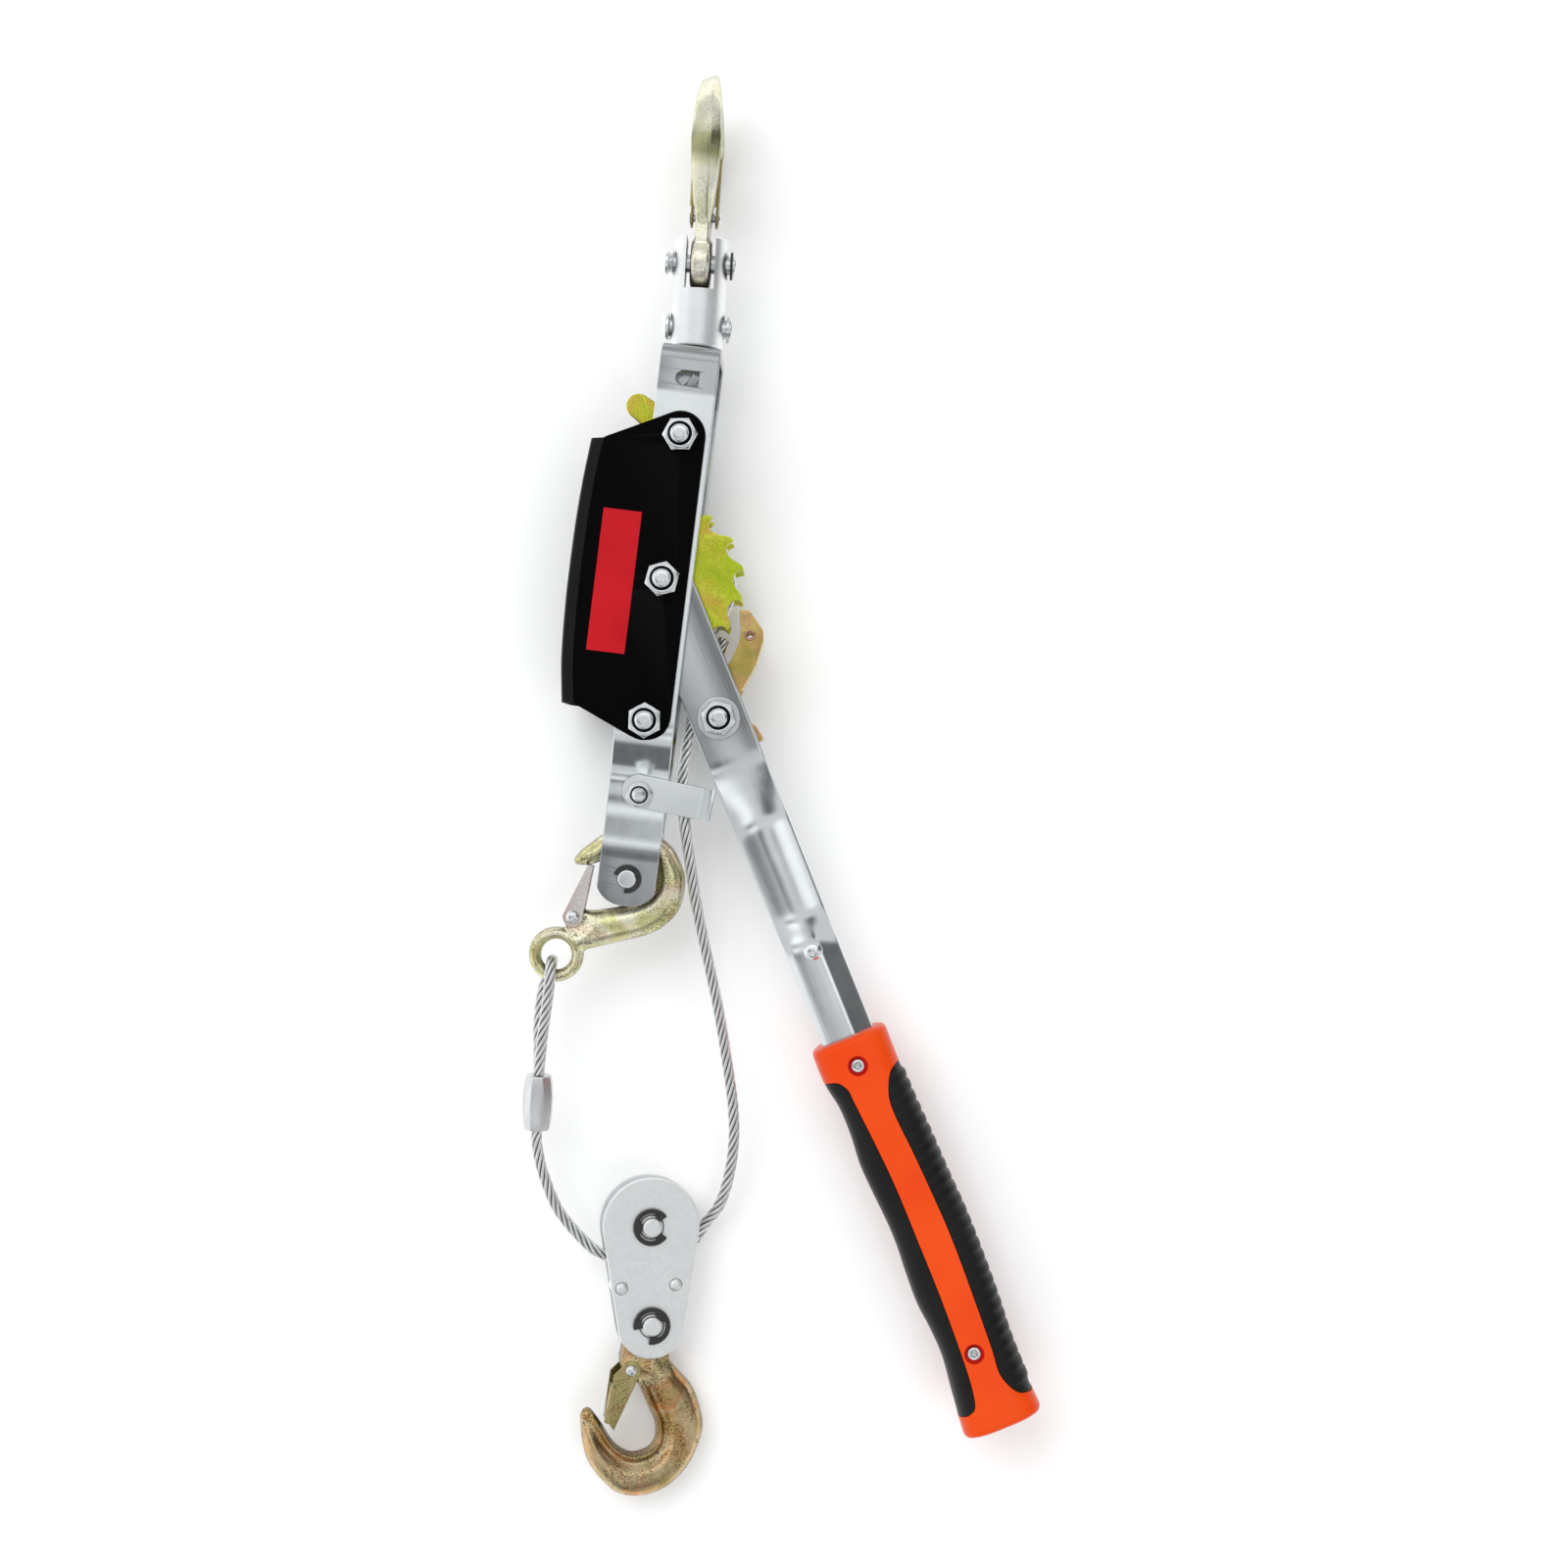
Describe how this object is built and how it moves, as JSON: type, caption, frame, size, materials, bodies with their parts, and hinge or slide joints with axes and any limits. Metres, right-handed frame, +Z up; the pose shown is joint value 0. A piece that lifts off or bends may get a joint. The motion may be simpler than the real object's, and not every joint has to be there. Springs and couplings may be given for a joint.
{
  "type": "come along winch",
  "caption": "Hand ratchet cable puller: flat-bar frame with drum and guard, swivel hook, hinged lever with moulded grip, steel cable and pulley block with latched hook.",
  "frame": {"origin": "centre of the drum shaft bolt's head, on the surface the winch lies on", "axes": "+Y along the frame towards the top hook, +Z up out of the surface along the drum shaft, +X towards the lever's side"},
  "size_m": [0.2463, 0.6139, 0.0675],
  "materials": {
    "zinc_bright": "bright zinc-plated steel, rolled and stamped",
    "zinc_yellow": "yellow chromated zinc over forged or stamped steel",
    "galvanised": "satin galvanised sheet steel",
    "cover_black": "gloss black painted sheet steel",
    "clip_black": "black oxide spring steel",
    "grip_orange": "moulded orange plastic",
    "pad_black": "soft black rubber",
    "wire_rope": "galvanised stranded steel wire rope",
    "ferrule_alloy": "pressed aluminium ferrule"
  },
  "bodies": {
    "frame": {"frame_strap": "zinc_bright", "guard_cover": "cover_black", "guard_rivet": "zinc_bright", "shaft_bolt": "zinc_bright", "shaft_nut": "zinc_bright", "stop_pawl_bolt": "zinc_bright", "stop_pawl_nut": "zinc_bright", "lower_bolt": "zinc_bright", "lower_nut": "zinc_bright", "lower_spacer": "zinc_bright", "clip_bolt": "zinc_bright", "clip_nut": "zinc_bright", "hook_pin": "zinc_bright", "hook_pin_eclip": "clip_black", "cable_guide": "zinc_bright", "end_hook": "zinc_yellow", "stop_pawl_spring": "zinc_bright", "cable_run_right": "wire_rope", "cable_run_left": "wire_rope", "cable_loop": "wire_rope", "ferrule": "ferrule_alloy"},
    "drum": {"drum_hub": "zinc_bright", "ratchet_wheel_front": "zinc_yellow", "ratchet_wheel_rear": "zinc_yellow", "cable_winding": "wire_rope"},
    "lever": {"lever_arm_front": "zinc_bright", "lever_arm_rear": "zinc_bright", "lever_rivet": "zinc_bright", "grip_body": "grip_orange", "grip_pad_left": "pad_black", "grip_pad_right": "pad_black", "grip_screw_top": "zinc_bright", "grip_screw_bottom": "zinc_bright", "drive_pawl_bolt": "zinc_bright", "drive_pawl_washer": "zinc_bright", "drive_pawl_nut": "zinc_bright", "drive_pawl_spring": "zinc_bright"},
    "drive_pawl": {"drive_pawl": "zinc_yellow"},
    "stop_pawl": {"stop_pawl": "zinc_yellow"},
    "head": {"swivel_head": "zinc_bright", "swivel_stud": "zinc_bright", "cross_pin": "zinc_bright", "cross_pin_eclip": "zinc_bright", "hook_pivot_pin": "zinc_bright", "hook_pivot_eclip": "clip_black"},
    "top_hook": {"top_hook": "zinc_yellow"},
    "top_latch": {"top_latch": "zinc_yellow"},
    "end_latch": {"end_latch": "zinc_yellow"},
    "block": {"block_plate_front": "galvanised", "block_plate_rear": "galvanised", "sheave_pin": "galvanised", "block_hook_pin": "galvanised", "sheave_pin_eclip": "clip_black", "block_hook_pin_eclip": "clip_black", "block_rivet_left": "galvanised", "block_rivet_right": "galvanised"},
    "sheave": {"sheave": "zinc_bright"},
    "block_hook": {"block_hook": "zinc_yellow"},
    "block_latch": {"block_latch": "zinc_yellow"}
  },
  "joints": [
    {"name": "drum_spin", "type": "hinge", "parent": "frame", "child": "drum", "pos_m": [0, 0, 0.032], "axis": [0, 0, 1], "range_deg": [-360, 0]},
    {"name": "lever_swing", "type": "hinge", "parent": "frame", "child": "lever", "pos_m": [0, 0, 0.032], "axis": [0, 0, 1], "range_deg": [0, 90]},
    {"name": "drive_pawl_tilt", "type": "hinge", "parent": "lever", "child": "drive_pawl", "pos_m": [0.0304, -0.05461, 0.032], "axis": [0, 0, 1], "range_deg": [-25, 3], "stiffness_Nm_per_rad": 0.3},
    {"name": "stop_pawl_tilt", "type": "hinge", "parent": "frame", "child": "stop_pawl", "pos_m": [0, 0.0608, 0.032], "axis": [0, 0, 1], "range_deg": [-4, 3.5], "stiffness_Nm_per_rad": 0.3},
    {"name": "block_travel", "type": "slide", "parent": "frame", "child": "block", "axis": [0.1236, -0.9923, 0], "range_m": [0, 0.09], "deforming": ["cable_run_right", "cable_run_left"]},
    {"name": "sheave_spin", "type": "hinge", "parent": "block", "child": "sheave", "pos_m": [0.0264, -0.2762, 0.013], "axis": [0.1893, 0.0236, 0.9816], "continuous": true},
    {"name": "block_hook_swing", "type": "hinge", "parent": "block", "child": "block_hook", "pos_m": [0.03168, -0.31857, 0.013], "axis": [0.1893, 0.0236, 0.9816], "range_deg": [-35, 35]},
    {"name": "block_latch_open", "type": "hinge", "parent": "block_hook", "child": "block_latch", "pos_m": [0.02572, -0.33907, 0.01464], "axis": [0.1893, 0.0236, 0.9816], "range_deg": [0, 28], "stiffness_Nm_per_rad": 0.05},
    {"name": "head_swivel", "type": "hinge", "parent": "frame", "child": "head", "pos_m": [0.0008, 0.0998, 0.032], "axis": [-0.0654, 0.9979, 0], "continuous": true},
    {"name": "top_hook_pivot", "type": "hinge", "parent": "head", "child": "top_hook", "pos_m": [-0.00169, 0.13782, 0.032], "axis": [0.9979, 0.0654, 0], "range_deg": [-85, 85]},
    {"name": "top_latch_open", "type": "hinge", "parent": "top_hook", "child": "top_latch", "pos_m": [-0.00309, 0.15914, 0.02314], "axis": [0.9979, 0.0654, 0], "range_deg": [0, 25], "stiffness_Nm_per_rad": 0.05},
    {"name": "end_latch_open", "type": "hinge", "parent": "frame", "child": "end_latch", "pos_m": [-0.0214, -0.1461, 0.032], "axis": [0, 0, 1], "range_deg": [-20, 0], "stiffness_Nm_per_rad": 0.05}
  ],
  "couplings": [
    {"joint": "block_travel", "follows": "drum_spin", "m_per_rad": -0.01425}
  ]
}
